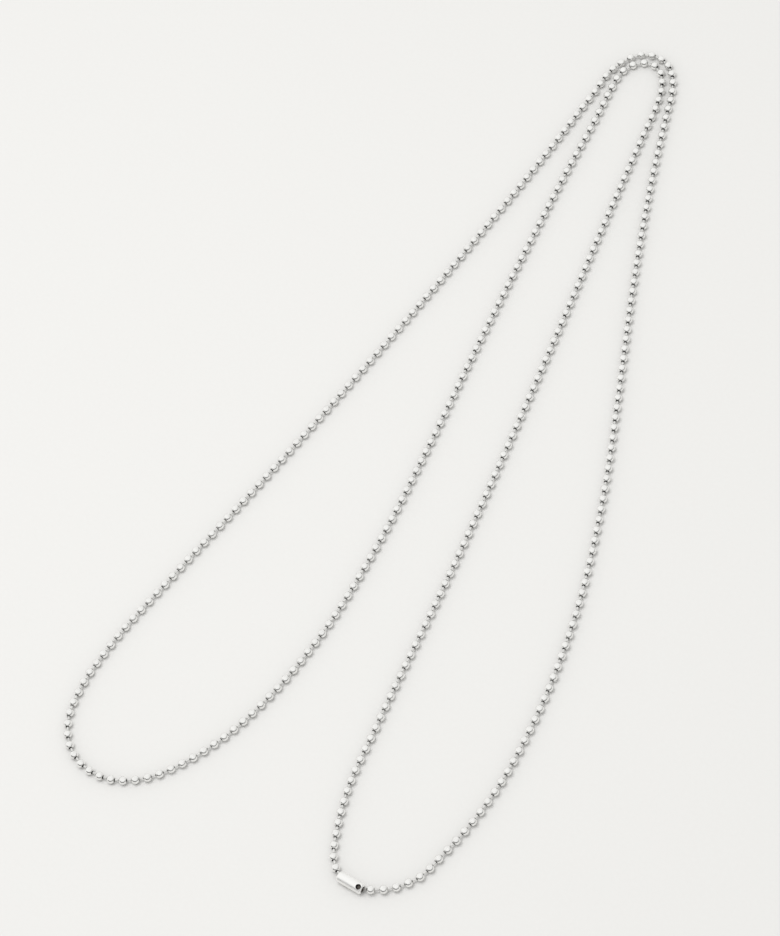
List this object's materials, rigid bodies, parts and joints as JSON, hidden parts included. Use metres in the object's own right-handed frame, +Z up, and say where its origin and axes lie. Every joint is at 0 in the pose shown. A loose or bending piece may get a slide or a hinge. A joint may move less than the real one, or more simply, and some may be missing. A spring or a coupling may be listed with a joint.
{
  "type": "ball chain necklace",
  "caption": "Closed necklace of hollow metal balls on short wire links, joined by a rolled sheet connector and lying folded in two on a flat surface.",
  "frame": {"origin": "middle of the underside of the necklace as it lies, on the surface that it rests on", "axes": "+Z up from the surface, +Y along the folded chain towards its fold, +X to the right as seen from above"},
  "size_m": [0.1244, 0.287, 0.003],
  "materials": {
    "ball": "polished plating, slightly worn",
    "ball_chain": "polished plating, slightly worn, darker in the gaps",
    "link_wire": "bright drawn wire",
    "connector_sheet": "satin rolled sheet, polished on its crown"
  },
  "bodies": {
    "root": {"connector_barrel": "connector_sheet", "chain_outer_run": "ball_chain", "chain_inner_run": "ball_chain", "end_bead_right": "ball", "end_bead_left": "ball", "bead_right_1": "ball", "bead_right_2": "ball", "bead_right_3": "ball", "bead_left_1": "ball", "bead_left_2": "ball", "bead_left_3": "ball", "link_right_1": "link_wire", "link_right_2": "link_wire", "link_right_3": "link_wire", "link_right_4": "link_wire", "link_left_1": "link_wire", "link_left_2": "link_wire", "link_left_3": "link_wire", "link_left_4": "link_wire"}
  },
  "joints": []
}
